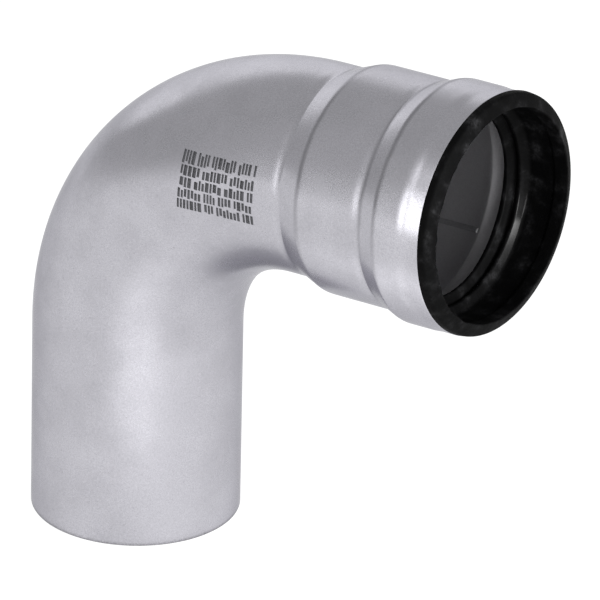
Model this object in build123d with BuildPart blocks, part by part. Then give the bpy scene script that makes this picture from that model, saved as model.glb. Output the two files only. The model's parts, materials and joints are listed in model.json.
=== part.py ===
from build123d import *
import os
from math import cos, radians, sin

# Push-fit drainage elbow in thin stainless tube, with its rubber seal ring.
#
# The spigot's end face is centred on the origin and the spigot rises along +Z.
# The bend turns it towards +X in the XZ plane, and the socket ends the part.
# Sizes are in millimetres and angles in degrees.

# --- driving dimensions: tube ---------------------------------------------------------
TUBE_OD = 75.0
WALL = 1.0
BEND_ANGLE = 87.5
BEND_RADIUS = 81.0  # to the tube's centreline
SPIGOT_LENGTH = 72.0
SPIGOT_EDGE = 0.3  # chamfer on the outer corner of the spigot's end

# --- driving dimensions: socket, measured along its own axis from the bend's end --------
NECK_LENGTH = 5.6  # plain tube before the first flare
PIPE_CLEARANCE = 2.4  # radial room between the guide's bore and an entering tube
GUIDE_LENGTH = 22.5
GUIDE_FLARE_ANGLE = 25.0
GUIDE_FLARE_ROOT = 3.0  # outer radius of the hollow corner
GUIDE_FLARE_CREST = 18.0  # outer radius of the round shoulder
CHAMBER_STEP = 2.6  # radial, from the guide out to the seal's chamber
CHAMBER_LENGTH = 12.8
CHAMBER_FLARE_ANGLE = 20.0
CHAMBER_FLARE_ROOT = 2.0
CHAMBER_FLARE_CREST = 12.0
RIM_CLOSING = 0.3  # radial, the rim is closed in a little to hold the seal
RIM_TAPER = 3.5
RIM_LENGTH = 6.0

# --- driving dimensions: seal, its radial fits taken from the entering tube's surface -----
SEAL_FIT = 0.05  # radial room between the rubber and the chamber's wall
SEAL_SETBACK = 1.0  # from the chamber's start to the back of the seal
COLLAR_OVERHANG = 0.6  # how far the collar stands out past the rim, radially
COLLAR_THICKNESS = 2.7  # along the axis, at the collar's outside
NOSE_LENGTH = 2.1  # from the collar's outer corner to the tip of the nose
MOUTH_CLEARANCE = 0.9
MOUTH_DEPTH = 5.6  # depth of the narrow mouth behind the nose's tip
HOLLOW_CLEARANCE = 1.8
HOLLOW_SLOPE = 1.0  # axial length of the step into the hollow, and of the ridge's flanks
WIPER_SQUEEZE = 1.3
WIPER_OFFSET = 7.8  # from the seal's back to the middle of the wiping ridge
LIP_SQUEEZE = 4.0
LIP_OFFSET = 4.2  # from the seal's back to the middle of the sealing lip
LIP_LAND = 1.2  # length of the lip's narrowest part
LIP_ROOT_CLEARANCE = 1.1
EDGE_ROUND = 0.5

# --- worked out from the driving dimensions ---------------------------------------------
tube_r = TUBE_OD / 2
guide_r = tube_r + PIPE_CLEARANCE + WALL
chamber_r = guide_r + CHAMBER_STEP
rim_r = chamber_r - RIM_CLOSING


def flare_parts(rise, angle, root, crest):
    """Length of the straight slope and of the whole flare between two diameters."""
    turn = radians(angle)
    slope_rise = rise - (root + crest) * (1 - cos(turn))
    slope = slope_rise / sin(turn)
    return slope, (root + crest) * sin(turn) + slope * cos(turn)


guide_slope, guide_flare = flare_parts(
    guide_r - tube_r, GUIDE_FLARE_ANGLE, GUIDE_FLARE_ROOT, GUIDE_FLARE_CREST
)
chamber_slope, chamber_flare = flare_parts(
    chamber_r - guide_r, CHAMBER_FLARE_ANGLE, CHAMBER_FLARE_ROOT, CHAMBER_FLARE_CREST
)
guide_start = NECK_LENGTH + guide_flare
guide_end = guide_start + GUIDE_LENGTH
chamber_start = guide_end + chamber_flare
taper_start = chamber_start + CHAMBER_LENGTH
taper_end = taper_start + RIM_TAPER
rim_end = taper_end + RIM_LENGTH
nose_tip = rim_end + COLLAR_THICKNESS + NOSE_LENGTH

# Half planes that hold the profiles. In each, local X is the radius and local Y runs
# along the tube's axis.
spigot_profile = Plane(origin=(0, 0, 0), x_dir=(1, 0, 0), z_dir=(0, -1, 0))
bend_pivot = Vector(BEND_RADIUS, 0, SPIGOT_LENGTH)
bend_axis = Axis(bend_pivot, (0, 1, 0))
turn = radians(BEND_ANGLE)
socket_origin = bend_pivot + Vector(-cos(turn), 0, sin(turn)) * BEND_RADIUS
socket_axis = Vector(sin(turn), 0, cos(turn))
socket_profile = Plane(origin=socket_origin, x_dir=(0, -1, 0), z_dir=Vector(0, -1, 0).cross(socket_axis))


def draw_flare(start, slope, angle, root, crest):
    """Draw one flare outwards: hollow corner, straight slope, round shoulder."""
    corner = JernArc(start=start, tangent=(0, 1), radius=root, arc_size=-angle)
    ramp = Line(corner @ 1, corner @ 1 + (corner % 1) * slope)
    shoulder = JernArc(start=ramp @ 1, tangent=ramp % 1, radius=crest, arc_size=angle)
    return shoulder @ 1


# --- spigot: the straight leg that pushes into the next socket ---------------------------
with BuildPart() as spigot:
    with BuildSketch(Plane.XY):
        Circle(tube_r)
        Circle(tube_r - WALL, mode=Mode.SUBTRACT)
    extrude(amount=SPIGOT_LENGTH)
    end_edges = spigot.edges().filter_by(GeomType.CIRCLE).group_by(Axis.Z)[0]
    chamfer(end_edges.sort_by(SortBy.RADIUS)[-1], length=SPIGOT_EDGE)
spigot.part.label = "spigot_tube"

# --- bend: the same tube turned through the bend angle, in two equal stretches ------------
spigot_top = Plane.XY.offset(SPIGOT_LENGTH)
half_turn = turn / 2
bend_middle = Plane(
    origin=bend_pivot + Vector(-cos(half_turn), 0, sin(half_turn)) * BEND_RADIUS,
    x_dir=(cos(half_turn), 0, -sin(half_turn)),
    z_dir=(sin(half_turn), 0, cos(half_turn)),
)
with BuildPart() as bend_lower:
    with BuildSketch(spigot_top):
        Circle(tube_r)
        Circle(tube_r - WALL, mode=Mode.SUBTRACT)
    revolve(axis=bend_axis, revolution_arc=BEND_ANGLE / 2)
bend_lower.part.label = "bend_tube_lower"

with BuildPart() as bend_upper:
    with BuildSketch(bend_middle):
        Circle(tube_r)
        Circle(tube_r - WALL, mode=Mode.SUBTRACT)
    revolve(axis=bend_axis, revolution_arc=BEND_ANGLE / 2)
bend_upper.part.label = "bend_tube_upper"

# --- socket: the tube's end expanded in two steps, guide then seal chamber ---------------
with BuildPart() as socket:
    with BuildSketch(socket_profile):
        with BuildLine():
            with BuildLine(mode=Mode.PRIVATE) as outside:
                neck = Line((tube_r, 0), (tube_r, NECK_LENGTH))
                at_guide = draw_flare(
                    neck @ 1, guide_slope, GUIDE_FLARE_ANGLE, GUIDE_FLARE_ROOT, GUIDE_FLARE_CREST
                )
                guide = Line(at_guide, (guide_r, guide_end))
                at_chamber = draw_flare(
                    guide @ 1,
                    chamber_slope,
                    CHAMBER_FLARE_ANGLE,
                    CHAMBER_FLARE_ROOT,
                    CHAMBER_FLARE_CREST,
                )
                Polyline(at_chamber, (chamber_r, taper_start), (rim_r, taper_end), (rim_r, rim_end))
            add(outside.line)
            offset(amount=WALL, side=Side.LEFT)
        make_face()
    revolve(axis=Axis(socket_origin, socket_axis))
socket.part.label = "socket_tube"

# --- seal: one rubber ring with a collar over the rim, a wiping ridge and a sealing lip ---
seal_r = chamber_r - WALL - SEAL_FIT
seal_rim_r = rim_r - WALL - SEAL_FIT
seal_back = chamber_start + SEAL_SETBACK
collar_r = rim_r + COLLAR_OVERHANG
collar_end = rim_end + COLLAR_THICKNESS
mouth_end = nose_tip - MOUTH_DEPTH
wiper_mid = seal_back + WIPER_OFFSET
lip_mid = seal_back + LIP_OFFSET
groove_mid = (wiper_mid + lip_mid) / 2
mouth_r = tube_r + MOUTH_CLEARANCE
hollow_r = tube_r + HOLLOW_CLEARANCE
wiper_r = tube_r - WIPER_SQUEEZE
lip_r = tube_r - LIP_SQUEEZE
lip_root_r = tube_r + LIP_ROOT_CLEARANCE
groove_r = (wiper_r + lip_root_r) / 2

body_outline = [
    (seal_r, seal_back),
    (seal_r, taper_start),
    (seal_rim_r, taper_end),
    (seal_rim_r, rim_end),
    (collar_r, rim_end),
]
rounded_outline = [
    (collar_r, collar_end),
    (mouth_r, nose_tip),
    (mouth_r, mouth_end),
    (hollow_r, mouth_end - HOLLOW_SLOPE),
    (hollow_r, wiper_mid + 2 * HOLLOW_SLOPE),
    (wiper_r, wiper_mid + HOLLOW_SLOPE / 2),
    (wiper_r, wiper_mid - HOLLOW_SLOPE / 2),
    (groove_r, groove_mid),
]
lip_outline = [
    (lip_r, lip_mid + LIP_LAND / 2),
    (lip_r, lip_mid - LIP_LAND / 2),
    (lip_root_r, seal_back),
]
with BuildPart() as seal:
    with BuildSketch(socket_profile) as section:
        with BuildLine():
            Polyline(body_outline + rounded_outline + lip_outline, close=True)
        make_face()
        for corner in rounded_outline:
            nearest = section.sketch_local.vertices().sort_by_distance(corner)[0]
            fillet(nearest, radius=EDGE_ROUND)
    revolve(axis=Axis(socket_origin, socket_axis))
seal.part.label = "lip_seal"

# --- one file for each piece ---------------------------------------------------------------
os.makedirs("parts", exist_ok=True)
export_step(spigot.part, "parts/spigot_tube.step")
export_step(bend_lower.part, "parts/bend_tube_lower.step")
export_step(bend_upper.part, "parts/bend_tube_upper.step")
export_step(socket.part, "parts/socket_tube.step")
export_step(seal.part, "parts/lip_seal.step")
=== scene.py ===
"""Visual model of a push-fit drainage elbow: thin stainless tube and its rubber seal ring.

Everything is in metres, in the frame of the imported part. The spigot stands on the floor
at the origin and rises along +Z, the bend turns it towards +X, and the socket ends it.
"""

import json
import logging
import math
import random
from dataclasses import dataclass
from enum import Enum
from typing import Iterator

import bmesh
import bpy
from mathutils import Matrix, Vector, noise

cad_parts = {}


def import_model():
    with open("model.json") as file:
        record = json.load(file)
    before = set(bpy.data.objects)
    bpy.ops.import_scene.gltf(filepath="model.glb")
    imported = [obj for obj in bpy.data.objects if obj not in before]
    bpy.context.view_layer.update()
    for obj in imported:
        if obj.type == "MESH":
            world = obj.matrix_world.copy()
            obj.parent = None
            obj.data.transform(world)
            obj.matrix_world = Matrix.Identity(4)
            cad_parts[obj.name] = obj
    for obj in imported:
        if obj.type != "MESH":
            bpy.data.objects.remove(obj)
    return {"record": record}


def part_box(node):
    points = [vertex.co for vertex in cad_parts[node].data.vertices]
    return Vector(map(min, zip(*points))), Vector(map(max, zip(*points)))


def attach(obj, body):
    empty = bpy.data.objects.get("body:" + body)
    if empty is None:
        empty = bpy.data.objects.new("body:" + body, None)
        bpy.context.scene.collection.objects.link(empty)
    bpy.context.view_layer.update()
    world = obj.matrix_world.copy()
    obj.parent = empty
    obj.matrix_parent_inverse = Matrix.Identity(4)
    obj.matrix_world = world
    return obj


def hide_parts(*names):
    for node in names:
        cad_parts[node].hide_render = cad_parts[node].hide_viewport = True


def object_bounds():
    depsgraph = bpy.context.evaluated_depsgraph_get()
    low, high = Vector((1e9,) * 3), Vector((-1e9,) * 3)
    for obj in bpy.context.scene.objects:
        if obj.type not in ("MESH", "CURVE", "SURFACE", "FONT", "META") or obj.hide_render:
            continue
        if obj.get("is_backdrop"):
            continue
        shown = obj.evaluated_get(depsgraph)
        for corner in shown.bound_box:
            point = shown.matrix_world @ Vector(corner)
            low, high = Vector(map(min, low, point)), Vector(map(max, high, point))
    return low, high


log = logging.getLogger("elbow")

MM = 0.001
MERGE = 1e-6


class Slot(Enum):
    """The record's material slots."""

    STEEL = "steel"
    RUBBER = "seal_rubber"


# --- the tube's path and the shape of its socket ------------------------------------------


@dataclass(frozen=True)
class Flare:
    """One widening of the tube: a hollow corner, a straight slope and a round shoulder.

    Attributes:
        start_radius: Outside radius before the flare.
        end_radius: Outside radius after it.
        angle: Angle of the slope to the axis, in degrees.
        root: Radius of the hollow corner.
        crest: Radius of the round shoulder.
    """

    start_radius: float
    end_radius: float
    angle: float
    root: float
    crest: float

    @property
    def slope(self) -> float:
        """Length of the straight slope."""
        turn = math.radians(self.angle)
        rise = self.end_radius - self.start_radius
        return (rise - (self.root + self.crest) * (1 - math.cos(turn))) / math.sin(turn)

    @property
    def length(self) -> float:
        """Length of the whole flare along the axis."""
        turn = math.radians(self.angle)
        return (self.root + self.crest) * math.sin(turn) + self.slope * math.cos(turn)

    def stations(self, start: float, steps: int) -> Iterator[tuple[float, float]]:
        """Give points along the flare.

        Args:
            start: Distance along the axis where the flare begins.
            steps: How many points each of the two curves gets.

        Returns:
            Pairs of distance along the axis and radius.
        """
        turn = math.radians(self.angle)
        for i in range(1, steps + 1):
            t = turn * i / steps
            radius = self.start_radius + self.root * (1 - math.cos(t))
            yield start + self.root * math.sin(t), radius
        end = start + self.length
        for i in range(steps + 1):
            t = turn * (1 - i / steps)
            radius = self.end_radius - self.crest * (1 - math.cos(t))
            yield end - self.crest * math.sin(t), radius


@dataclass(frozen=True)
class Route:
    """The path that the tube follows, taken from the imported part.

    Attributes:
        radius: The tube's outside radius.
        spigot_length: Length of the straight leg.
        turn: Angle of the bend, in radians.
        bend_radius: Radius of the bend's centreline.
    """

    radius: float
    spigot_length: float
    turn: float
    bend_radius: float

    @classmethod
    def from_frame(cls, record: dict) -> "Route":
        """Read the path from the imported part.

        Args:
            record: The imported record.

        Returns:
            The route.
        """
        _, spigot_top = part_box("spigot_tube")
        _, bend_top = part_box("bend_tube_upper")
        axis = next(m["axis"] for m in record["mounts"] if m["name"] == "pipe_socket")
        turn = math.atan2(axis[0], axis[2])
        rise = (bend_top.z - spigot_top.z) / math.sin(turn)
        return cls(spigot_top.x, spigot_top.z, turn, rise - spigot_top.x)

    @property
    def pivot(self) -> Vector:
        """Centre that the bend turns about."""
        return Vector((self.bend_radius, 0, self.spigot_length))

    @property
    def outward(self) -> Vector:
        """Direction from the bend's centre to its end, across the tube."""
        return Vector((-math.cos(self.turn), 0, math.sin(self.turn)))

    @property
    def axis(self) -> Vector:
        """Direction of the socket's axis."""
        return Vector((math.sin(self.turn), 0, math.cos(self.turn)))

    @property
    def end(self) -> Vector:
        """Centre of the tube at the bend's end, where the socket starts."""
        return self.pivot + self.outward * self.bend_radius

    @property
    def socket_frame(self) -> Matrix:
        """Frame at the bend's end: X outward from the bend, Y across, Z along the socket."""
        columns = (self.outward, Vector((0, -1, 0)), self.axis)
        turned = Matrix([[column[row] for column in columns] for row in range(3)])
        return Matrix.Translation(self.end) @ turned.to_4x4()

    def place(self, point: Vector) -> tuple[float, float]:
        """Tell where a point is on the tube.

        Args:
            point: A point on or near the tube.

        Returns:
            The distance along the path past the bend's end, negative before it, and the
            angle round the tube from the bend's outside towards +Y.
        """
        beyond = (point - self.end).dot(self.axis)
        if beyond > 0 and point.z > self.spigot_length:
            across = point - self.end - self.axis * beyond
            return beyond, math.atan2(across.y, across.dot(self.outward))
        whole = self.bend_radius * self.turn
        if point.z < self.spigot_length:
            return point.z - self.spigot_length - whole, math.atan2(point.y, -point.x)
        offset = point - self.pivot
        bent = math.atan2(offset.z, -offset.x)
        out = math.hypot(offset.x, offset.z) - self.bend_radius
        return self.bend_radius * bent - whole, math.atan2(point.y, out)


@dataclass(frozen=True)
class SocketShape:
    """Outside shape of the socket, as distances past the bend's end.

    Attributes:
        neck: Plain tube before the first flare.
        guide_radius: Outside radius of the guide, which the entering tube fits.
        guide_length: Length of the guide's straight part.
        chamber_radius: Outside radius of the seal's chamber.
        chamber_length: Length of the chamber's straight part.
        taper: Length over which the rim starts to close in.
        rim_length: Length from the taper to the metal's edge.
        closing: How much smaller the rim's radius is than the chamber's.
        slope: Angle of both flares to the axis, in degrees.
        guide_root: Radius of the hollow corner of the guide's flare.
        guide_crest: Radius of its round shoulder.
        chamber_root: Radius of the hollow corner of the chamber's flare.
        chamber_crest: Radius of its round shoulder.
        curve_steps: Points along each curve of a flare.
        lead_in: From the last ring of the plain tube to the guide's flare.
        pinch: Depth of the slight hollow that forming leaves before each flare.
        pinch_lead: How far before the flare the hollow is deepest.
        pinch_reach: Reach of the hollow along the tube.
        press: How far the rim is pressed in on its near side.
        press_angle: Middle of the pressed stretch, round the tube from the bend's outside.
        press_reach: Reach of the pressed stretch round the tube.
        press_lead: How far back into the taper the pressing starts, as a share of the taper.
        lean_out: How much further forward the rim stands for each metre outward of the bend.
        lean_near: How much further back it stands for each metre towards the near side.
    """

    neck: float = 8.6 * MM
    guide_radius: float = 40.9 * MM
    guide_length: float = 24.9 * MM
    chamber_radius: float = 43.5 * MM
    chamber_length: float = 9.65 * MM
    taper: float = 3.5 * MM
    rim_length: float = 6.0 * MM
    closing: float = 0.3 * MM
    slope: float = 20.0
    guide_root: float = 3.0 * MM
    guide_crest: float = 6.0 * MM
    chamber_root: float = 2.0 * MM
    chamber_crest: float = 5.0 * MM
    curve_steps: int = 6
    lead_in: float = 0.6 * MM
    pinch: float = 0.16 * MM
    pinch_lead: float = 0.4 * MM
    pinch_reach: float = 1.5 * MM
    press: float = 0.8 * MM
    press_angle: float = math.radians(-62)
    press_reach: float = math.radians(38)
    press_lead: float = 0.4
    lean_out: float = 0.014
    lean_near: float = 0.024

    def flares(self, tube_radius: float) -> tuple[Flare, Flare]:
        """Give the two flares.

        Args:
            tube_radius: Outside radius of the plain tube.

        Returns:
            The guide's flare and the chamber's flare.
        """
        middle, wide = self.guide_radius, self.chamber_radius
        guide = Flare(tube_radius, middle, self.slope, self.guide_root, self.guide_crest)
        chamber = Flare(middle, wide, self.slope, self.chamber_root, self.chamber_crest)
        return guide, chamber

    def rim(self, tube_radius: float) -> float:
        """Tell where the metal's edge is.

        Args:
            tube_radius: Outside radius of the plain tube.

        Returns:
            Its distance past the bend's end.
        """
        guide, chamber = self.flares(tube_radius)
        plain = self.neck + self.guide_length + self.chamber_length
        return plain + guide.length + chamber.length + self.taper + self.rim_length

    def pressed(self, tube_radius: float, distance: float, angle: float) -> float:
        """Give how far the rim is pressed in at a place.

        Args:
            tube_radius: Outside radius of the plain tube.
            distance: Distance past the bend's end.
            angle: Angle round the tube from the bend's outside.

        Returns:
            The depth, from 0 where nothing is pressed.
        """
        end = self.rim(tube_radius)
        start = end - self.rim_length - self.press_lead * self.taper
        ramp = min(1.0, max(0.0, (distance - start) / (end - start)))
        around = math.remainder(angle - self.press_angle, math.tau) / self.press_reach
        return self.press * ramp * math.exp(-(around**4))

    def leaning(self, tube_radius: float, distance: float, outward: float, near: float) -> float:
        """Give how far forward a point stands, because the mouth isn't cut quite square.

        Args:
            tube_radius: Outside radius of the plain tube.
            distance: Distance past the bend's end.
            outward: How far the point is from the axis, outward of the bend.
            near: How far it is from the axis towards the near side.

        Returns:
            The move along the axis, negative towards the bend.
        """
        end = self.rim(tube_radius)
        start = end - self.rim_length - self.taper - self.chamber_length
        ramp = min(1.0, max(0.0, (distance - start) / (end - start)))
        return ramp * (self.lean_out * outward - self.lean_near * near)

    def stations(
        self, tube_radius: float, step: float = 1.1 * MM
    ) -> list[tuple[float, float]]:
        """List the outside profile, from the bend's end to the metal's edge.

        Args:
            tube_radius: Outside radius of the plain tube.
            step: Longest distance between two points on a straight stretch.

        Returns:
            Pairs of distance along the axis and radius.
        """
        guide, chamber = self.flares(tube_radius)
        points = [(0.0, tube_radius)]

        def straight(end: float, radius: float) -> None:
            """Carry the profile on in a straight line.

            Args:
                end: Distance at which the line ends.
                radius: Radius there.
            """
            start, before = points[-1]
            count = max(1, math.ceil((end - start) / step))
            for i in range(1, count + 1):
                t = i / count
                points.append((start + (end - start) * t, before + (radius - before) * t))

        straight(self.neck - self.lead_in, tube_radius)
        points.extend(guide.stations(self.neck, self.curve_steps))
        straight(points[-1][0] + self.guide_length, self.guide_radius)
        points.extend(chamber.stations(points[-1][0], self.curve_steps))
        straight(points[-1][0] + self.chamber_length, self.chamber_radius)
        closed = self.chamber_radius - self.closing
        straight(points[-1][0] + self.taper, closed)
        straight(points[-1][0] + self.rim_length, closed)
        pinched = []
        for distance, radius in points:
            for mouth in (self.neck, self.neck + guide.length + self.guide_length):
                reach = (distance - mouth + self.pinch_lead) / self.pinch_reach
                radius -= self.pinch * math.exp(-reach * reach)
            pinched.append((distance, radius))
        return pinched


# --- shared helpers -----------------------------------------------------------------------


def loop_of(geometry: list) -> tuple[list, list]:
    """Pick a moved ring out of what an extrude or a spin returns.

    Args:
        geometry: Mixed vertices, edges and faces.

    Returns:
        The vertices, and the edges that join two of them.
    """
    verts = [g for g in geometry if isinstance(g, bmesh.types.BMVert)]
    known = set(verts)
    edges = {e for v in verts for e in v.link_edges if e.other_vert(v) in known}
    return verts, sorted(edges, key=lambda e: (e.verts[0].index, e.verts[1].index))


def finish_mesh(bm: bmesh.types.BMesh, name: str, smooth: bool = True) -> bpy.types.Object:
    """Turn a finished bmesh into an object at the origin.

    Args:
        bm: The shape. It is freed.
        name: Name for the object and its mesh.
        smooth: Whether its faces are shaded smooth.

    Returns:
        The new object, linked to the scene.
    """
    for face in bm.faces:
        face.smooth = smooth
    mesh = bpy.data.meshes.new(name)
    bm.to_mesh(mesh)
    bm.free()
    piece = bpy.data.objects.new(name, mesh)
    bpy.context.scene.collection.objects.link(piece)
    return piece


def hand_over(piece: bpy.types.Object, slot: Slot, *nodes: str) -> None:
    """Tie a piece to the part's body and hide the CAD nodes it stands for.

    Args:
        piece: The finished piece.
        slot: Not used.
        nodes: The CAD nodes that it replaces.
    """
    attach(piece, "root")
    if nodes:
        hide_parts(*nodes)
    log.info("%s: %d faces", piece.name, len(piece.data.polygons))


class Graph:
    """A small wrapper that makes writing a node tree short."""

    def __init__(self, tree: bpy.types.NodeTree) -> None:
        """Start on a tree.

        Args:
            tree: The material's or group's node tree.
        """
        self.tree = tree

    def add(self, kind: str, inputs: dict | None = None, **settings: object) -> bpy.types.Node:
        """Add a node.

        Args:
            kind: The node's type name.
            inputs: Values or sockets, by input name or number.
            settings: The node's own properties.

        Returns:
            The node.
        """
        node = self.tree.nodes.new(kind)
        for key, value in settings.items():
            setattr(node, key, value)
        for key, value in (inputs or {}).items():
            socket = node.inputs[key]
            if isinstance(value, bpy.types.NodeSocket):
                self.tree.links.new(value, socket)
            else:
                socket.default_value = value
        return node

    def ramp(
        self,
        value: bpy.types.NodeSocket,
        source: tuple[float, float],
        target: tuple[float, float],
        blend: str = "LINEAR",
    ) -> bpy.types.NodeSocket:
        """Carry a value from one range to another, held at both ends.

        Args:
            value: The socket that gives it.
            source: Its low and high.
            target: The results there.
            blend: The Map Range node's interpolation.

        Returns:
            The socket of the result.
        """
        limits = {"From Min": source[0], "From Max": source[1]}
        limits |= {"To Min": target[0], "To Max": target[1]}
        node = self.add("ShaderNodeMapRange", {"Value": value, **limits}, interpolation_type=blend)
        return node.outputs["Result"]

    def spread(
        self, value: bpy.types.NodeSocket, low: float, high: float
    ) -> bpy.types.NodeSocket:
        """Stretch a 0 to 1 value over a range.

        Args:
            value: The socket that gives it.
            low: Result at 0.
            high: Result at 1.

        Returns:
            The socket of the result.
        """
        return self.ramp(value, (0.0, 1.0), (low, high))

    def share(
        self, first: bpy.types.NodeSocket, part: float, second: bpy.types.NodeSocket
    ) -> bpy.types.NodeSocket:
        """Add two values in shares that make one whole.

        Args:
            first: The first value.
            part: Its share.
            second: The second value, which gets the rest.

        Returns:
            The socket of the sum.
        """
        rest = self.math("MULTIPLY", second, 1 - part)
        return self.math("ADD", self.math("MULTIPLY", first, part), rest)

    def measure(
        self, operation: str, first: object, second: object = (0.0, 0.0, 0.0)
    ) -> bpy.types.NodeSocket:
        """Work on one or two vectors.

        Args:
            operation: The Vector Math node's operation.
            first: Socket or vector.
            second: Socket or vector.

        Returns:
            The socket of the vector, or of the number where the operation gives one.
        """
        node = self.add("ShaderNodeVectorMath", {0: first, 1: second}, operation=operation)
        return node.outputs["Value" if operation in ("DOT_PRODUCT", "LENGTH") else "Vector"]

    def math(self, operation: str, *values: object) -> bpy.types.NodeSocket:
        """Combine numbers.

        Args:
            operation: The Math node's operation.
            values: Sockets or numbers.

        Returns:
            The socket of the result.
        """
        inputs = dict(enumerate(values))
        return self.add("ShaderNodeMath", inputs, operation=operation).outputs[0]

    def blend(self, mask: object, first: object, second: object) -> bpy.types.NodeSocket:
        """Mix two colours by a mask.

        Args:
            mask: 0 gives the first colour, 1 the second.
            first: Colour or socket.
            second: Colour or socket.

        Returns:
            The socket of the mixed colour.
        """
        inputs = {0: mask, 6: first, 7: second}
        node = self.add("ShaderNodeMix", inputs, data_type="RGBA")
        return node.outputs[2]


def new_material(name: str) -> tuple[bpy.types.Material, Graph, bpy.types.Node]:
    """Make an empty material with a Principled shader.

    Args:
        name: The material's name.

    Returns:
        The material, its graph and its shader.
    """
    material = bpy.data.materials.new(name)
    material.use_nodes = True
    tree = material.node_tree
    shader = next(n for n in tree.nodes if n.type == "BSDF_PRINCIPLED")
    return material, Graph(tree), shader


# --- finishes -----------------------------------------------------------------------------


class SurfaceVariation:
    """The shared group that gives cloudy patches and fine grain on Object coordinates."""

    NAME = "cloud_and_grain"
    PIT_SHARE = 0.12
    MIDDLE = (0.3, 0.7)
    PIT_EDGE = (0.02, 0.14)

    @classmethod
    def tree(cls) -> bpy.types.NodeTree:
        """Give the group's tree, made on first use.

        Returns:
            The tree.
        """
        found = bpy.data.node_groups.get(cls.NAME)
        return found or cls._build()

    @classmethod
    def _build(cls) -> bpy.types.NodeTree:
        """Build the group's nodes.

        Returns:
            The new tree.
        """
        tree = bpy.data.node_groups.new(cls.NAME, "ShaderNodeTree")
        for label, start in (("Cloud Scale", 40.0), ("Grain Scale", 1500.0)):
            socket = tree.interface.new_socket(
                label, in_out="INPUT", socket_type="NodeSocketFloat"
            )
            socket.default_value = start
        for label in ("Cloud", "Grain", "Speck"):
            tree.interface.new_socket(label, in_out="OUTPUT", socket_type="NodeSocketFloat")
        graph = Graph(tree)
        given = graph.add("NodeGroupInput")
        place = graph.add("ShaderNodeTexCoord").outputs["Object"]
        cloud_scale, grain_scale = given.outputs["Cloud Scale"], given.outputs["Grain Scale"]
        looks = (("Cloud", cloud_scale, 4.0, 0.55), ("Grain", grain_scale, 2.0, 0.7))
        pits = graph.add(
            "ShaderNodeTexVoronoi",
            {"Vector": place, "Scale": graph.math("MULTIPLY", grain_scale, cls.PIT_SHARE)},
        )
        result = graph.add("NodeGroupOutput")
        for label, scale, detail, rough in looks:
            inputs = {"Vector": place, "Scale": scale, "Detail": detail, "Roughness": rough}
            source = graph.add("ShaderNodeTexNoise", inputs).outputs[0]
            even = graph.ramp(source, cls.MIDDLE, (0.0, 1.0))
            tree.links.new(even, result.inputs[label])
        speck = graph.ramp(pits.outputs["Distance"], cls.PIT_EDGE, (1.0, 0.0))
        tree.links.new(speck, result.inputs["Speck"])
        return tree

    @classmethod
    def place(cls, graph: Graph, cloud: float, grain: float) -> bpy.types.Node:
        """Put the group into a material.

        Args:
            graph: The material's graph.
            cloud: Scale of the patches, per metre.
            grain: Scale of the grain, per metre.

        Returns:
            The group's node.
        """
        node = graph.add("ShaderNodeGroup", node_tree=cls.tree())
        node.inputs["Cloud Scale"].default_value = cloud
        node.inputs["Grain Scale"].default_value = grain
        return node


@dataclass(frozen=True)
class ToolLine:
    """A thin painted shade line round the socket, at a flare's hollow or shoulder.

    Attributes:
        distance: Distance past the bend's end.
        width: Half of the line's width.
        strength: How dark it is where it is clearest.
    """

    distance: float
    width: float
    strength: float


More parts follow.
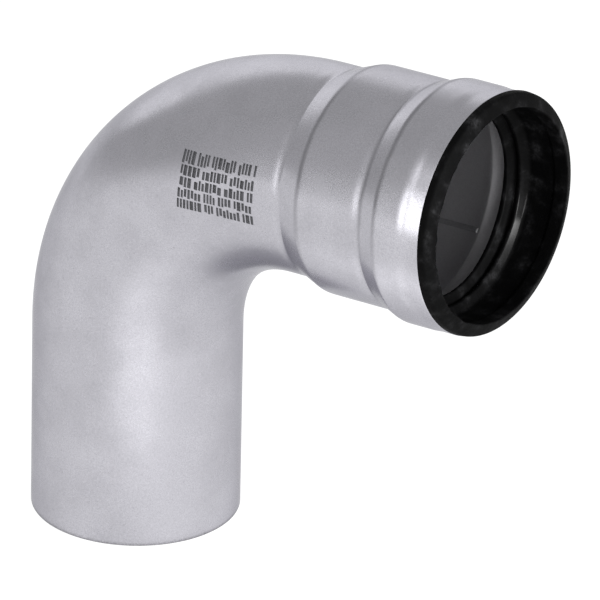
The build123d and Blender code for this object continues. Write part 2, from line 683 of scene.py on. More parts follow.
@dataclass(frozen=True)
class PickledSteel:
    """Satin stainless steel with the soft clouds that pickling leaves.

    Attributes:
        name: The material's name.
        light: Colour of the brighter patches.
        dark: Colour of the duller patches.
        smoothest: Lowest roughness.
        roughest: Highest roughness.
        grain_depth: Height of the grain.
        bump: Strength of the grain's bump.
        cloud_scale: Scale of the patches, per metre.
        grain_scale: Scale of the grain, per metre.
        cloud_tone: The patches' share in the colour.
        cloud_sheen: The patches' share in the roughness.
        specks: How much the pits darken the colour.
        line_tone: How dark a painted shade line is, as a share of the dark colour.
        edge_tint: Tint of the metal where it is seen at a grazing angle.
        route: The tube's path, which places the lines.
        lines: Painted shade lines at the flares' hollows and shoulders.
        foot: Height of the painted shade line along the spigot's cut end, where it stands on the
            floor; the grain breaks it into pits. 0 for none.
    """

    name: str = "pickled_steel"
    light: tuple[float, float, float, float] = (0.540, 0.533, 0.575, 1)
    dark: tuple[float, float, float, float] = (0.365, 0.360, 0.390, 1)
    smoothest: float = 0.21
    roughest: float = 0.33
    grain_depth: float = 0.006 * MM
    bump: float = 0.22
    cloud_scale: float = 48.0
    grain_scale: float = 1900.0
    cloud_tone: float = 0.4
    cloud_sheen: float = 0.7
    specks: float = 0.25
    line_tone: float = 0.35
    edge_tint: tuple[float, float, float, float] = (0.62, 0.62, 0.64, 1)
    route: Route | None = None
    lines: tuple[ToolLine, ...] = ()
    foot: float = 0.0

    def _draw_foot(
        self, graph: Graph, grain: bpy.types.NodeSocket
    ) -> bpy.types.NodeSocket:
        """Paint the shade line along the spigot's cut end, where it stands on the floor.

        Args:
            graph: The material's graph.
            grain: The grain that breaks the line up.

        Returns:
            The socket of its darkness.
        """
        place = graph.add("ShaderNodeTexCoord").outputs["Object"]
        height = graph.add("ShaderNodeSeparateXYZ", {0: place}).outputs["Z"]
        # painted shade, darkest at the floor and fading up the spigot; the grain breaks it up
        near = graph.ramp(height, (0.0, self.foot), (0.9, 0.0), "SMOOTHSTEP")
        return graph.math("MULTIPLY", near, graph.spread(grain, 1.0, 0.3))

    def _draw_line(
        self, graph: Graph, line: ToolLine, cloud: bpy.types.NodeSocket
    ) -> bpy.types.NodeSocket:
        """Paint one shade line: clearest on the bend's outward side, and uneven.

        Args:
            graph: The material's graph.
            line: The line.
            cloud: The patches that make it uneven.

        Returns:
            The socket of its darkness.
        """
        place = graph.add("ShaderNodeTexCoord").outputs["Object"]
        axis, outward, end = self.route.axis, self.route.outward, self.route.end
        along = graph.measure("DOT_PRODUCT", place, axis)
        height = graph.measure("DOT_PRODUCT", place, outward)
        sway = graph.spread(cloud, -0.35 * MM, 0.35 * MM)
        gap = graph.math("SUBTRACT", along, axis.dot(end) + line.distance)
        gap = graph.math("ABSOLUTE", graph.math("ADD", gap, sway))
        near = graph.ramp(gap, (0.0, line.width), (line.strength, 0.0), "SMOOTHSTEP")
        # the painted shade is strongest on the bend's outward side and fades towards the inside of
        # the bend
        low = outward.dot(end) - 0.5 * self.route.radius
        high = outward.dot(end) + 0.35 * self.route.radius
        upper = graph.ramp(height, (low, high), (0.05, 1.0))
        return graph.math("MULTIPLY", near, upper)

    def build(self) -> bpy.types.Material:
        """Make the material.

        Returns:
            The material.
        """
        material, graph, shader = new_material(self.name)
        surface = SurfaceVariation.place(graph, self.cloud_scale, self.grain_scale)
        cloud, grain = surface.outputs["Cloud"], surface.outputs["Grain"]
        speck = graph.math("MULTIPLY", surface.outputs["Speck"], self.specks)
        tone = graph.math("SUBTRACT", graph.share(cloud, self.cloud_tone, grain), speck)
        colour = graph.blend(tone, self.dark, self.light)
        # painted shade colour, used for the lines at the flares and along the spigot's cut end
        shade = tuple(self.line_tone * c for c in self.dark[:3]) + (1,)
        # paint shade lines into the colour at the flares' hollows and shoulders
        for line in self.lines:
            colour = graph.blend(self._draw_line(graph, line, cloud), colour, shade)
        # paint shade along the spigot's cut end, darkest where it stands on the floor
        if self.foot:
            colour = graph.blend(self._draw_foot(graph, grain), colour, shade)
        graph.tree.links.new(colour, shader.inputs["Base Color"])
        patchy = graph.share(cloud, self.cloud_sheen, grain)
        roughness = graph.spread(patchy, self.roughest, self.smoothest)
        graph.tree.links.new(roughness, shader.inputs["Roughness"])
        inputs = {"Strength": self.bump, "Distance": self.grain_depth, "Height": grain}
        bump = graph.add("ShaderNodeBump", inputs)
        graph.tree.links.new(bump.outputs["Normal"], shader.inputs["Normal"])
        shader.inputs["Metallic"].default_value = 1.0
        shader.inputs["Specular Tint"].default_value = self.edge_tint
        return material


@dataclass(frozen=True)
class BlackRubber:
    """Moulded black rubber: matte and scuffed outside, polished where it wipes the tube.

    Attributes:
        name: The material's name.
        base: Colour of clean rubber.
        scuffed: Colour of rubbed and dusty patches.
        matte: Roughness of the moulded skin.
        polished: Roughness of the ridge where it is polished.
        cloud_scale: Scale of the patches, per metre.
        grain_scale: Scale of the grain, per metre.
        contrast: How sharply the scuffs stand out from clean rubber.
        relief: Height of the skin's unevenness.
        sheen: Coat weight where the rubber is fully polished.
        coat_roughness: Roughness of that coat.
        specular: Specular level of the skin.
    """

    name: str = "black_rubber"
    base: tuple[float, float, float, float] = (0.0015, 0.0015, 0.0016, 1)
    scuffed: tuple[float, float, float, float] = (0.016, 0.016, 0.017, 1)
    matte: float = 0.6
    polished: float = 0.3
    cloud_scale: float = 160.0
    grain_scale: float = 1100.0
    contrast: float = 4.0
    relief: float = 0.08 * MM
    sheen: float = 0.3
    coat_roughness: float = 0.12
    specular: float = 0.03

    def build(self) -> bpy.types.Material:
        """Make the material.

        Returns:
            The material.
        """
        material, graph, shader = new_material(self.name)
        surface = SurfaceVariation.place(graph, self.cloud_scale, self.grain_scale)
        cloud, grain = surface.outputs["Cloud"], surface.outputs["Grain"]
        polish = graph.add("ShaderNodeAttribute", attribute_name="polish").outputs["Fac"]
        dull = graph.math("SUBTRACT", 1.0, polish)
        rubbed = graph.math("MULTIPLY", graph.math("POWER", cloud, self.contrast), dull)
        rubbed = graph.math("MULTIPLY", rubbed, graph.math("ADD", grain, 0.3))
        colour = graph.blend(rubbed, self.base, self.scuffed)
        graph.tree.links.new(colour, shader.inputs["Base Color"])
        roughness = graph.spread(polish, self.matte, self.polished)
        roughness = graph.math("ADD", roughness, graph.math("MULTIPLY", grain, 0.08))
        graph.tree.links.new(roughness, shader.inputs["Roughness"])
        height = graph.math("ADD", grain, graph.math("MULTIPLY", cloud, 1.6))
        height = graph.math("MULTIPLY", height, graph.math("SUBTRACT", 1.15, polish))
        inputs = {"Strength": 0.5, "Distance": self.relief, "Height": height}
        bump = graph.add("ShaderNodeBump", inputs)
        graph.tree.links.new(bump.outputs["Normal"], shader.inputs["Normal"])
        coat = graph.math("MULTIPLY", polish, self.sheen)
        graph.tree.links.new(coat, shader.inputs["Coat Weight"])
        shader.inputs["Coat Roughness"].default_value = self.coat_roughness
        shader.inputs["Specular IOR Level"].default_value = self.specular
        return material


@dataclass(frozen=True)
class StampInk:
    """Dark marking ink that is broken up where the roller missed the metal.

    Attributes:
        name: The material's name.
        colour: Colour of the ink.
        thin: How much paler the ink is in its thin patches.
        cloud_scale: Scale of the patches, per metre.
        grain_scale: Scale of the grain, per metre.
        cloud_wear: The patches' share in the wear.
        worn: Range of the wear over which the ink thins.
        cover: How much of the metal it covers where it is worn and where it is whole.
    """

    name: str = "marking_ink"
    colour: tuple[float, float, float, float] = (0.03, 0.03, 0.034, 1)
    thin: float = 1.7
    cloud_scale: float = 220.0
    grain_scale: float = 1900.0
    cloud_wear: float = 0.45
    worn: tuple[float, float] = (0.2, 0.5)
    cover: tuple[float, float] = (0.45, 0.96)

    def build(self) -> bpy.types.Material:
        """Make the material.

        Returns:
            The material.
        """
        material, graph, shader = new_material(self.name)
        surface = SurfaceVariation.place(graph, self.cloud_scale, self.grain_scale)
        cloud, grain = surface.outputs["Cloud"], surface.outputs["Grain"]
        wear = graph.share(cloud, self.cloud_wear, grain)
        cover = graph.ramp(wear, self.worn, self.cover)
        graph.tree.links.new(cover, shader.inputs["Alpha"])
        pale = tuple(self.thin * c for c in self.colour[:3]) + (1,)
        tone = graph.blend(cloud, self.colour, pale)
        graph.tree.links.new(tone, shader.inputs["Base Color"])
        roughness = graph.spread(grain, 0.5, 0.7)
        graph.tree.links.new(roughness, shader.inputs["Roughness"])
        return material


@dataclass(frozen=True)
class GlowSpot:
    """A place where the light table is brighter.

    Attributes:
        centre: X and Y of its middle.
        reach: Its reach along X and along Y.
        strength: How much brighter it is.
    """

    centre: tuple[float, float]
    reach: tuple[float, float]
    strength: float


@dataclass(frozen=True)
class StudioFloor:
    """A white light table, lit evenly from below apart from a few brighter places.

    Attributes:
        name: The material's name.
        white: The table's reflectance.
        glow: Light that comes through it from below.
        full: Brightness at which the glow's colour is white.
        mottle: How much the reflectance and the glow vary from place to place.
        spots: The brighter places.
    """

    name: str = "floor_white"
    white: float = 0.15
    glow: float = 0.92
    full: float = 2.0
    mottle: float = 0.01
    spots: tuple[GlowSpot, ...] = (GlowSpot((0.10, -0.145), (0.13, 0.13), 0.55),)

    def build(self) -> bpy.types.Material:
        """Make the material.

        Returns:
            The material.
        """
        material, graph, shader = new_material(self.name)
        surface = SurfaceVariation.place(graph, 4.0, 60.0)
        cloud = surface.outputs["Cloud"]
        tone = graph.spread(cloud, self.white - self.mottle, self.white)
        colour = graph.add("ShaderNodeCombineColor", {0: tone, 1: tone, 2: tone})
        graph.tree.links.new(colour.outputs[0], shader.inputs["Base Color"])
        shader.inputs["Roughness"].default_value = 0.9
        place = graph.add("ShaderNodeTexCoord").outputs["Object"]
        light = graph.spread(cloud, self.glow - self.mottle, self.glow)
        for spot in self.spots:
            away = graph.measure("SUBTRACT", place, (*spot.centre, 0.0))
            shrink = (1 / spot.reach[0], 1 / spot.reach[1], 0.0)
            far = graph.measure("LENGTH", graph.measure("MULTIPLY", away, shrink))
            more = graph.ramp(far, (0.0, 1.0), (spot.strength, 0.0), "SMOOTHERSTEP")
            light = graph.math("ADD", light, more)
        light = graph.math("DIVIDE", light, self.full)
        shine = graph.add("ShaderNodeCombineColor", {0: light, 1: light, 2: light})
        graph.tree.links.new(shine.outputs[0], shader.inputs["Emission Color"])
        shader.inputs["Emission Strength"].default_value = self.full
        return material


# --- the elbow's tube ---------------------------------------------------------------------


@dataclass(frozen=True)
class Dent:
    """A shallow mark pressed into the tube.

    Attributes:
        distance: Distance past the bend's end, in millimetres.
        angle: Angle round the tube from the bend's outside, in degrees.
        length: Reach along the tube, in millimetres.
        width: Reach round the tube, in millimetres.
        depth: How deep it is, in millimetres. A negative depth is a bulge.
    """

    distance: float
    angle: float
    length: float
    width: float
    depth: float


def extrude_ring(bm: bmesh.types.BMesh, edges: list) -> tuple[list, list]:
    """Extrude a ring of edges in place.

    Args:
        bm: The shape.
        edges: The ring's edges.

    Returns:
        The new ring's vertices and edges.
    """
    return loop_of(bmesh.ops.extrude_edge_only(bm, edges=edges)["geom"])


def run_leg_and_bend(
    bm: bmesh.types.BMesh, edges: list, route: Route, height: float, steps: tuple[int, int]
) -> list:
    """Extrude a ring up the spigot and round the bend.

    Args:
        bm: The shape.
        edges: The ring at the spigot's foot.
        route: The tube's path.
        height: How far the ring rises before the bend.
        steps: Rings along the spigot, and round the bend.

    Returns:
        The last ring's edges.
    """
    along, round_bend = steps
    for _ in range(along):
        verts, edges = extrude_ring(bm, edges)
        bmesh.ops.translate(bm, verts=verts, vec=(0, 0, height / along))
    spun = bmesh.ops.spin(
        bm,
        geom=verts + edges,
        cent=route.pivot,
        axis=(0, 1, 0),
        angle=route.turn,
        steps=round_bend,
        use_duplicate=False,
    )
    return loop_of(spun["geom_last"])[1]


@dataclass
class ElbowTube:
    """The formed tube: spigot, bend and two-step socket in one skin.

    Attributes:
        route: The tube's path.
        socket: The socket's shape.
        wall: Thickness of the metal.
        edge: Rounding of the cut ends.
        around: Vertices round the tube.
        steps: Rings along the spigot, and round the bend.
        ripple: Height of the unevenness left by forming.
        ripple_scale: How fine that unevenness is, per metre.
        rim_calm: Length of the rim's stretch in which it dies away.
        foot_calm: Length of the same stretch at the spigot's cut end.
        worked: Reach, along the tube, of the stretch that forming worked most.
        worked_past: How far past the guide the middle of that stretch is.
        dents: The marks pressed into it.
        lines: The painted shade lines at the socket's flares.
        foot: Height of the painted shade line along the spigot's cut end.
    """

    route: Route
    socket: SocketShape
    wall: float = 1.0 * MM
    edge: float = 0.3 * MM
    around: int = 176
    steps: tuple[int, int] = (24, 62)
    ripple: float = 0.05 * MM
    ripple_scale: float = 95.0
    rim_calm: float = 6.0 * MM
    foot_calm: float = 8.0 * MM
    worked: float = 9.0 * MM
    worked_past: float = 4.0 * MM
    # painted shade line where the spigot's cut end stands on the floor
    foot: float = 1.6 * MM
    dents: tuple[Dent, ...] = (
        Dent(50.4, -92, 1.5, 7.0, 0.20),
        Dent(49.4, -112, 2.0, 6.0, 0.28),
        Dent(49.6, -126, 1.8, 7.0, 0.24),
        Dent(46.0, -104, 2.6, 5.0, -0.12),
        Dent(20.6, -132, 2.4, 3.0, 0.22),
        Dent(63.5, -115, 1.6, 3.4, 0.18),
        Dent(13.4, -96, 1.5, 9.0, 0.12),
        Dent(14.4, -60, 1.4, 8.0, 0.10),
    )
    # painted shade lines at the flares' hollows and shoulders
    lines: tuple[ToolLine, ...] = (
        ToolLine(18.3 * MM, 1.7 * MM, 0.5),
        ToolLine(44.9 * MM, 1.5 * MM, 0.42),
        ToolLine(52.3 * MM, 1.5 * MM, 0.5),
    )

    def build(self) -> bpy.types.Object:
        """Build the tube and dress it.

        Returns:
            The finished piece.
        """
        bm = bmesh.new()
        ring = bmesh.ops.create_circle(bm, segments=self.around, radius=self.route.radius)
        _, edges = loop_of(ring["verts"])
        rise = self.route.spigot_length
        edges = run_leg_and_bend(bm, edges, self.route, rise, self.steps)
        self._form_socket(bm, edges)
        bmesh.ops.remove_doubles(bm, verts=bm.verts, dist=MERGE)
        bmesh.ops.recalc_face_normals(bm, faces=bm.faces)
        self._unevenness(bm)
        piece = finish_mesh(bm, "elbow_body")
        # the outside steel carries the painted shade lines at the flares and along the spigot's
        # cut end
        outside = PickledSteel(route=self.route, lines=self.lines, foot=self.foot)
        bore = PickledSteel(
            name="bore_steel",
            light=(0.43, 0.426, 0.442, 1),
            dark=(0.35, 0.346, 0.36, 1),
            smoothest=0.46,
            roughest=0.58,
        )
        for steel in (outside, bore):
            piece.data.materials.append(steel.build())
        self._add_wall(piece)
        bends = ("bend_tube_lower", "bend_tube_upper")
        hand_over(piece, Slot.STEEL, "spigot_tube", *bends, "socket_tube")
        return piece

    def _form_socket(self, bm: bmesh.types.BMesh, edges: list) -> None:
        """Extrude the bend's last ring through the socket's profile.

        Args:
            bm: The shape.
            edges: The bend's last ring.
        """
        to_frame = self.route.socket_frame.inverted()
        stations = self.socket.stations(self.route.radius)
        for (before, inner), (after, outer) in zip(stations, stations[1:]):
            if after - before < MERGE:
                continue
            verts, edges = extrude_ring(bm, edges)
            bmesh.ops.translate(bm, verts=verts, vec=self.route.axis * (after - before))
            grow = outer / inner
            bmesh.ops.scale(bm, verts=verts, vec=(grow, grow, 1), space=to_frame)

    def _unevenness(self, bm: bmesh.types.BMesh) -> None:
        """Move the skin by small amounts: ripple, dents, the pressed rim and its lean.

        Args:
            bm: The shape.
        """
        bm.normal_update()
        guide, _ = self.socket.flares(self.route.radius)
        second = self.socket.neck + guide.length + self.socket.guide_length
        middle = second + self.worked_past
        end = self.socket.rim(self.route.radius)
        for vert in bm.verts:
            distance, angle = self.route.place(vert.co)
            at_rim = max(0.0, (end - distance) / self.rim_calm)
            at_foot = (vert.co.z / self.foot_calm) ** 2 + 0.15
            calm = min(1.0, at_rim, at_foot)
            worked = math.exp(-(((distance - middle) / self.worked) ** 2))
            uneven = noise.noise(vert.co * self.ripple_scale)
            height = self.ripple * (0.35 + worked) * calm * uneven
            for dent in self.dents:
                along = (distance - dent.distance * MM) / (dent.length * MM)
                turned = math.remainder(angle - math.radians(dent.angle), math.tau)
                across = turned * self.socket.guide_radius / (dent.width * MM)
                if abs(along) < 3 and abs(across) < 3:
                    height -= dent.depth * MM * math.exp(-along * along - across * across)
            height -= self.socket.pressed(self.route.radius, distance, angle)
            outward = self.route.radius * math.cos(angle)
            near = -self.route.radius * math.sin(angle)
            lean = self.socket.leaning(self.route.radius, distance, outward, near)
            vert.co += vert.normal * height + self.route.axis * lean

    def _add_wall(self, piece: bpy.types.Object) -> None:
        """Give the skin its thickness and round the cut ends.

        Args:
            piece: The tube.
        """
        wall = piece.modifiers.new("wall", "SOLIDIFY")
        wall.thickness = self.wall
        wall.offset = -1.0
        wall.use_even_offset = True
        wall.material_offset = 1
        ends = piece.modifiers.new("ends", "BEVEL")
        ends.width = self.edge
        ends.segments = 2
        ends.limit_method = "ANGLE"
        ends.angle_limit = math.radians(50)


@dataclass
class WeldBead:
    """The low lengthwise weld on the tube's inner wall.

    Attributes:
        route: The tube's path.
        socket: The socket's shape.
        wall: Thickness of the metal.
        angle: Place round the tube from the bend's outside, in degrees.
        width: Width of the bead.
        height: How far the bead stands into the bore.
        inset: How far the bead starts inside the spigot's cut end.
        around: Vertices round the bead.
        steps: Rings along the spigot, and round the bend.
    """

    route: Route
    socket: SocketShape
    wall: float = 1.0 * MM
    angle: float = 128.0
    width: float = 2.0 * MM
    height: float = 0.14 * MM
    inset: float = 0.8 * MM
    around: int = 12
    steps: tuple[int, int] = (12, 62)

    def build(self) -> bpy.types.Object:
        """Build the bead along the whole tube and dress it.

        Returns:
            The finished piece.
        """
        turned = math.radians(self.angle)
        away = Vector((-math.cos(turned), math.sin(turned), 0))
        bm = bmesh.new()
        ring = bmesh.ops.create_circle(bm, segments=self.around, radius=1.0)
        verts, edges = loop_of(ring["verts"])
        bmesh.ops.scale(bm, verts=verts, vec=(self.height, self.width / 2, 1))
        bmesh.ops.rotate(bm, verts=verts, matrix=Matrix.Rotation(math.pi - turned, 3, "Z"))
        inner = self.route.radius - self.wall
        start = away * inner + Vector((0, 0, self.inset))
        bmesh.ops.translate(bm, verts=verts, vec=start)
        rise = self.route.spigot_length - self.inset
        edges = run_leg_and_bend(bm, edges, self.route, rise, self.steps)
        outward = self.route.outward * math.cos(turned) + Vector((0, math.sin(turned), 0))
        guide, _ = self.socket.flares(self.route.radius)
        stop = self.socket.neck + guide.length + self.socket.guide_length
        stations = self.socket.stations(self.route.radius)
        for (before, start), (after, end) in zip(stations, stations[1:]):
            if after - before < MERGE or after > stop:
                continue
            verts, edges = extrude_ring(bm, edges)
            move = self.route.axis * (after - before) + outward * (end - start)
            bmesh.ops.translate(bm, verts=verts, vec=move)
        bmesh.ops.remove_doubles(bm, verts=bm.verts, dist=MERGE)
        bmesh.ops.holes_fill(bm, edges=[e for e in bm.edges if e.is_boundary], sides=0)
        bmesh.ops.recalc_face_normals(bm, faces=bm.faces)
        piece = finish_mesh(bm, "weld_bead")
        steel = PickledSteel(
            name="weld_steel",
            light=(0.34, 0.34, 0.35, 1),
            dark=(0.24, 0.24, 0.25, 1),
            smoothest=0.45,
            roughest=0.6,
            grain_depth=0.02 * MM,
        )
        piece.data.materials.append(steel.build())
        hand_over(piece, Slot.STEEL)
        return piece


@dataclass
class StampedRows:
    """A block of plain marking strokes rolled on to the bend's side, with no lettering.

    Attributes:
        route: The tube's path.
        left: X of the block's left side.
        right: X of the block's right side.
        top: Z of the block's top on its left side.
        bottom: Z of the block's bottom.
        heights: Height of each row of strokes.
        widths: The strokes' widths, in millimetres.
        counts: How many strokes a group can have.
        spans: Foot and head of a stroke, as shares of the row's height.
        between: Gap between two strokes.
        space: What a gap between two groups is wider by.
        slant: How much the first row climbs for each metre along X.
        level: How much less each next row climbs.
        seed: Seed of the draws.
        lift: How far the ink stands off the metal.
        ink: Thickness of the ink.
    """

    route: Route
    left: float = 43.4 * MM
    right: float = 75.8 * MM
    top: float = 162.8 * MM
    bottom: float = 142.2 * MM
    heights: tuple[float, ...] = (4.4 * MM, 3.6 * MM, 3.5 * MM, 3.4 * MM, 3.4 * MM)
    widths: tuple[float, ...] = (0.8, 1.0, 1.5)
    counts: tuple[int, ...] = (3, 4, 5, 7)
    spans: tuple[tuple[float, float], ...] = (*((0.0, 1.0),) * 3, (0.0, 0.8), (0.15, 1.0))
    between: float = 0.5 * MM
    space: float = 0.9 * MM
    slant: float = 0.10
    level: float = 0.01
    seed: int = 7
    lift: float = 0.02 * MM
    ink: float = 0.02 * MM

    def build(self) -> bpy.types.Object:
        """Build the block of strokes and dress it.

        Returns:
            The finished piece.
        """
        pick = random.Random(self.seed)
        bm = bmesh.new()
        room = self.top - self.bottom - sum(self.heights)
        gap = room / (len(self.heights) - 1)
        base = self.top
        for row, height in enumerate(self.heights):
            base -= height
            slant = self.slant - self.level * row
            x = self.left + pick.uniform(0, 0.6) * MM
            while x < self.right:
                for _ in range(pick.choice(self.counts)):
                    width = pick.choice(self.widths) * MM
                    if x + width > self.right:
                        break
                    foot, head = (base + height * end for end in pick.choice(self.spans))
                    self._stroke(bm, x, width, foot, head, slant)
                    x += width + self.between
                x += self.space
            base -= gap
        bmesh.ops.recalc_face_normals(bm, faces=bm.faces)
        piece = finish_mesh(bm, "marking_strokes")
        piece.data.materials.append(StampInk().build())
        hand_over(piece, Slot.STEEL)
        return piece

    def _stroke(
        self, bm: bmesh.types.BMesh, x: float, width: float, low: float, high: float, slant: float
    ) -> None:
        """Add one upright stroke, wrapped on to the bend.

        Args:
            bm: The shape.
            x: The stroke's left side.
            width: Its width.
            low: Z of its foot.
            high: Z of its head.
            slant: How much it climbs for each metre along X.
        """
        grid = bmesh.ops.create_grid(bm, x_segments=2, y_segments=4, size=0.5)
        verts = grid["verts"]
        bmesh.ops.scale(bm, verts=verts, vec=(width, high - low, 1))
        bmesh.ops.rotate(bm, verts=verts, matrix=Matrix.Rotation(math.pi / 2, 3, "X"))
        middle = x + width / 2
        climb = slant * (middle - self.left)
        bmesh.ops.translate(bm, verts=verts, vec=(middle, 0, (low + high) / 2 + climb))
        faces = sorted({f for v in verts for f in v.link_faces}, key=lambda f: f.index)
        for vert in verts:
            self._wrap(vert)
        bmesh.ops.recalc_face_normals(bm, faces=faces)
        if sum(f.normal.y for f in faces) > 0:
            bmesh.ops.reverse_faces(bm, faces=faces)
        bmesh.ops.solidify(bm, geom=faces, thickness=self.ink)

    def _wrap(self, vert: bmesh.types.BMVert) -> None:
        """Move a flat point sideways on to the bend's near side.

        Args:
            vert: The vertex to move.
        """
        flat = Vector((vert.co.x, 0, vert.co.z))
        offset = flat - self.route.pivot
        out = offset.length - self.route.bend_radius
        side = -math.sqrt(max(0.0, self.route.radius**2 - out**2))
        centre = self.route.pivot + offset.normalized() * self.route.bend_radius
        skin = Vector((flat.x, side, flat.z))
        vert.co = skin + (skin - centre).normalized() * (self.lift + self.ink)


# --- the seal -----------------------------------------------------------------------------


@dataclass
class SealRing:
    """The moulded rubber ring: collar, nose, mouth, wiping ridge and sealing lip.

    Attributes:
        route: The tube's path.
        socket: The socket's shape.
        wall: Thickness of the metal round it.
        fit: Room between the rubber and the metal.
        overhang: How far the collar stands out past the rim.
        collar: Thickness of the collar at its outside.
        nose: Length from the collar's corner to the nose's tip.
        depth: From the metal's edge to the seal's back.
        heel: Length over which the seal's back widens to the chamber.
        mouth_radius: Radius of the mouth.
        mouth_depth: Depth of the mouth behind the nose's tip.
        hollow_radius: Radius of the hollow behind the mouth.
        wiper_radius: Radius of the wiping ridge.
        wiper_offset: From the seal's back to the ridge.
        lip_radius: Radius of the sealing lip.
        lip_offset: From the seal's back to the lip.
        root_radius: Radius of the seal's back.
        polish_angle: Middle of the best polished stretch of the ridge, round the ring.
        polish_reach: Reach of that stretch round the ring.
        draft: How much the collar narrows towards its front.
        lift: How far the collar sits off centre, outward of the bend.
        step: Gap between the collar's step and the metal's edge.
        chamfer: How much narrower than the chamber the seal's back is.
        hollow_lead: Length over which the mouth opens into the hollow.
        ridge_slope: Distance from the hollow's end to the middle of the wiping ridge.
        flat: Half the length of the flat top of the ridge, and of the lip.
        rubbed: Reach of the polish along the axis.
        torn_angle: Middle of the raggedest stretch of the mouth, round the ring.
        torn_reach: Reach of that stretch round the ring.
        torn_width: Reach of the raggedness along the axis.
        around: Steps of the spin.
    """

    route: Route
    socket: SocketShape
    wall: float = 1.0 * MM
    fit: float = 0.05 * MM
    overhang: float = 0.25 * MM
    collar: float = 2.7 * MM
    nose: float = 2.1 * MM
    depth: float = 21.3 * MM
    heel: float = 4.4 * MM
    mouth_radius: float = 38.4 * MM
    mouth_depth: float = 5.6 * MM
    hollow_radius: float = 39.3 * MM
    wiper_radius: float = 36.2 * MM
    wiper_offset: float = 7.8 * MM
    lip_radius: float = 33.5 * MM
    lip_offset: float = 4.2 * MM
    root_radius: float = 38.6 * MM
    polish_angle: float = math.radians(117)
    polish_reach: float = math.radians(11)
    draft: float = 0.3 * MM
    lift: float = 0.4 * MM
    step: float = 0.02 * MM
    chamfer: float = 1.6 * MM
    hollow_lead: float = 1.0 * MM
    ridge_slope: float = 2.2 * MM
    flat: float = 0.6 * MM
    rubbed: float = 2.0 * MM
    torn_angle: float = math.radians(-95)
    torn_reach: float = math.radians(50)
    torn_width: float = 1.6 * MM
    around: int = 192

    def build(self) -> bpy.types.Object:
        """Build the ring and dress it.

        Returns:
            The finished piece.
        """
        bm = bmesh.new()
        outline = self._outline()
        verts = [bm.verts.new((radius, 0, distance)) for radius, distance, _ in outline]
        for pair in zip(verts, verts[1:] + verts[:1]):
            bm.edges.new(pair)
        for vert, (_, _, rounding) in zip(verts, outline):
            if rounding:
                bmesh.ops.bevel(
                    bm,
                    geom=[vert],
                    offset=rounding,
                    affect="VERTICES",
                    segments=5,
                    profile=0.5,
                    material=-1,
                )
        bmesh.ops.delete(bm, geom=list(bm.faces), context="FACES_ONLY")
        bmesh.ops.spin(
            bm,
            geom=list(bm.verts) + list(bm.edges),
            cent=(0, 0, 0),
            axis=(0, 0, 1),
            angle=math.tau,
            steps=self.around,
            use_merge=True,
            use_duplicate=False,
        )
        bmesh.ops.remove_doubles(bm, verts=bm.verts, dist=1e-7)
        bmesh.ops.recalc_face_normals(bm, faces=bm.faces)
        self._polish_and_flash(bm)
        bmesh.ops.transform(bm, matrix=self.route.socket_frame, verts=bm.verts)
        piece = finish_mesh(bm, "seal_ring")
        piece.data.materials.append(BlackRubber().build())
        hand_over(piece, Slot.RUBBER, "lip_seal")
        return piece

    @property
    def rim(self) -> float:
        """Distance of the metal's edge past the bend's end."""
        return self.socket.rim(self.route.radius)

    @property
    def tip(self) -> float:
        """Distance of the nose's tip past the bend's end."""
        return self.rim + self.collar + self.nose

    @property
    def back(self) -> float:
        """Distance of the seal's back past the bend's end."""
        return self.rim - self.depth

    def _outline(self) -> list[tuple[float, float, float]]:
        """List the section's corners.

        Returns:
            Radius, distance along the axis and rounding of each corner.
        """
        chamber = self.socket.chamber_radius - self.wall - self.fit
        closed = chamber - self.socket.closing
        taper = self.rim - self.socket.rim_length
        collar = self.socket.chamber_radius - self.socket.closing + self.overhang
        wiper = self.back + self.wiper_offset
        lip = self.back + self.lip_offset
        groove = (self.wiper_radius + self.root_radius) / 2
        mouth = self.tip - self.mouth_depth
        front, flat = self.rim + self.step, self.flat
        small, soft = 0.3 * MM, 0.6 * MM
        return [
            (chamber - self.chamfer, self.back, small),
            (chamber, self.back + self.heel, 0.0),
            (chamber, taper - self.socket.taper, 0.0),
            (closed, taper, 0.0),
            (closed, front, 0.0),
            (collar, front, 0.15 * MM),
            (collar - self.draft, self.rim + self.collar, 0.8 * MM),
            (self.mouth_radius, self.tip, soft),
            (self.mouth_radius, mouth, 0.4 * MM),
            (self.hollow_radius, mouth - self.hollow_lead, 0.4 * MM),
            (self.hollow_radius, wiper + self.ridge_slope, 0.9 * MM),
            (self.wiper_radius, wiper + flat, 0.5 * MM),
            (self.wiper_radius, wiper - flat, 0.5 * MM),
            (groove, (wiper + lip) / 2, 0.4 * MM),
            (self.lip_radius, lip + flat, 0.4 * MM),
            (self.lip_radius, lip - flat, 0.4 * MM),
            (self.root_radius, self.back, small),
        ]

    def _follow_rim(self, vert: bmesh.types.BMVert) -> None:
        """Move a point as the rim moves: pressed in, and leant with it.

        The collar, which stands in front of the metal's edge, is also lifted off centre.

        Args:
            vert: A vertex of the ring, still on its own axis.
        """
        radius = math.hypot(vert.co.x, vert.co.y)
        if radius > self.mouth_radius + 3 * MM and vert.co.z < self.rim:
            angle = math.atan2(-vert.co.y, vert.co.x)
            inward = self.socket.pressed(self.route.radius, vert.co.z, angle)
            vert.co.xy *= 1 - inward / radius
        outside = min(1.0, max(0.0, (vert.co.z - self.rim) / self.step))
        vert.co.z += self.socket.leaning(self.route.radius, vert.co.z, vert.co.x, vert.co.y)
        vert.co.x += self.lift * outside

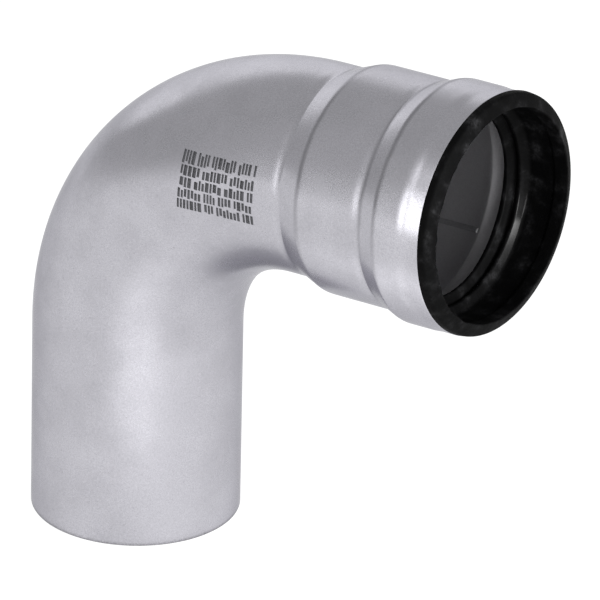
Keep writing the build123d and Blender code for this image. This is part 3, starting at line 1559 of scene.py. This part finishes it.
    def _polish_and_flash(self, bm: bmesh.types.BMesh) -> None:
        """Mark the polished part, and make the mouth's edge slightly ragged.

        Args:
            bm: The ring, still on its own axis.
        """
        polish = bm.verts.layers.float.new("polish")
        wiper = self.back + self.wiper_offset
        for vert in bm.verts:
            inside = math.hypot(vert.co.x, vert.co.y) < self.hollow_radius + 0.1 * MM
            around = math.atan2(-vert.co.y, vert.co.x)
            rubbed = math.remainder(around - self.polish_angle, math.tau) / self.polish_reach
            reach = (vert.co.z - wiper) / self.rubbed
            polished = math.exp(-reach * reach) * (0.1 + 0.9 * math.exp(-rubbed * rubbed))
            vert[polish] = polished if inside else 0.0
            edge = math.exp(-(((vert.co.z - self.tip) / self.torn_width) ** 2))
            if inside and edge > 0.05:
                ragged = noise.noise(vert.co * 260.0) + 0.6 * noise.noise(vert.co * 700.0)
                outward = Vector((vert.co.x, vert.co.y, 0)).normalized()
                torn = math.remainder(around - self.torn_angle, math.tau) / self.torn_reach
                depth = (0.2 + 0.75 * math.exp(-torn * torn)) * MM
                vert.co += outward * ragged * depth * edge
            self._follow_rim(vert)


# --- the studio ---------------------------------------------------------------------------


@dataclass(frozen=True)
class SoftPanel:
    """A large oval soft light that shines at the object and isn't seen by the camera.

    Attributes:
        name: The light's name.
        azimuth: Direction it stands in: 0 is in front, towards -Y, and 90 towards +X.
        elevation: Height above the horizon, in degrees.
        distance: Distance from the object's middle.
        width: The panel's width.
        height: The panel's height.
        power: Its power, in watts.
    """

    name: str
    azimuth: float
    elevation: float
    distance: float
    width: float
    height: float
    power: float

    def build(self, middle: Vector) -> bpy.types.Object:
        """Make the light.

        Args:
            middle: The point that it shines at.

        Returns:
            The light's object.
        """
        lamp = bpy.data.lights.new(self.name, "AREA")
        lamp.shape = "ELLIPSE"
        lamp.size, lamp.size_y = self.width, self.height
        lamp.energy = self.power
        panel = bpy.data.objects.new(self.name, lamp)
        back = direction(self.azimuth, self.elevation)
        panel.location = middle + back * self.distance
        panel.rotation_euler = back.to_track_quat("Z", "Y").to_euler()
        panel.visible_camera = False
        bpy.context.scene.collection.objects.link(panel)
        return panel


def direction(azimuth: float, elevation: float) -> Vector:
    """Give the unit vector towards a place round the object.

    Args:
        azimuth: 0 is towards -Y, 90 towards +X, in degrees.
        elevation: Height above the horizon, in degrees.

    Returns:
        The vector.
    """
    a, e = math.radians(azimuth), math.radians(elevation)
    return Vector((math.sin(a) * math.cos(e), -math.cos(a) * math.cos(e), math.sin(e)))


@dataclass
class Studio:
    """Floor, world, lights and camera.

    Attributes:
        middle: The point that the lights shine at.
        surround: Brightness of the white surround.
        panels: The lights.
    """

    middle: Vector
    surround: float = 0.58
    panels: tuple[SoftPanel, ...] = (
        SoftPanel("right_side", 90, 18, 2.0, 0.9, 1.0, 49.0),
        SoftPanel("low_front", 60, 4, 2.0, 1.5, 0.4, 26.0),
        SoftPanel("front_high", 0, 45, 2.0, 1.2, 1.0, 4.3),
        SoftPanel("back_left", -135, 18, 2.0, 3.0, 1.3, 8.0),
        SoftPanel("front_strip", -16, 8, 2.0, 0.4, 1.7, 6.0),
    )

    def build(self) -> None:
        """Set the whole studio up."""
        self._floor()
        self._world()
        for panel in self.panels:
            panel.build(self.middle)
        self._camera()
        bpy.context.scene.view_settings.view_transform = "Standard"

    def _floor(self) -> None:
        """Lay the glowing floor."""
        bm = bmesh.new()
        bmesh.ops.create_grid(bm, x_segments=4, y_segments=4, size=6.0)
        floor = finish_mesh(bm, "studio_floor", smooth=False)
        floor.data.materials.append(StudioFloor().build())
        floor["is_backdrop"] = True

    def _world(self) -> None:
        """Make the even white surround."""
        world = bpy.data.worlds.new("studio_surround")
        world.use_nodes = True
        background = next(n for n in world.node_tree.nodes if n.type == "BACKGROUND")
        background.inputs["Color"].default_value = (1.0, 1.0, 1.0, 1.0)
        background.inputs["Strength"].default_value = self.surround
        bpy.context.scene.world = world

    def _camera(self) -> None:
        """Set the camera: a long lens, high on the right, with a slight roll."""
        azimuth, elevation, roll = 35.0, 25.95, math.radians(1.22)
        distance, focal_length = 3.135, 538.2
        aim = Vector((0.07005, 0, 0.09976))
        lens = bpy.data.cameras.new("studio_camera")
        lens.lens = focal_length
        lens.sensor_width = 36.0
        camera = bpy.data.objects.new("studio_camera", lens)
        back = direction(azimuth, elevation)
        right = Vector((math.cos(math.radians(azimuth)), math.sin(math.radians(azimuth)), 0))
        up = back.cross(right)
        across = right * math.cos(roll) + up * math.sin(roll)
        upward = up * math.cos(roll) - right * math.sin(roll)
        turned = Matrix([[column[row] for column in (across, upward, back)] for row in range(3)])
        camera.matrix_world = Matrix.Translation(aim + back * distance) @ turned.to_4x4()
        lens.clip_end = 60.0
        bpy.context.scene.collection.objects.link(camera)
        bpy.context.scene.camera = camera


def main() -> None:
    """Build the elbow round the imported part."""
    logging.basicConfig(level=logging.INFO, format="%(name)s: %(message)s")
    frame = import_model()
    cad_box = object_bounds()
    route = Route.from_frame(frame["record"])
    socket = SocketShape()
    ElbowTube(route, socket).build()
    WeldBead(route, socket).build()
    StampedRows(route).build()
    SealRing(route, socket).build()
    Studio((cad_box[0] + cad_box[1]) / 2).build()


if __name__ == "__main__":
    main()
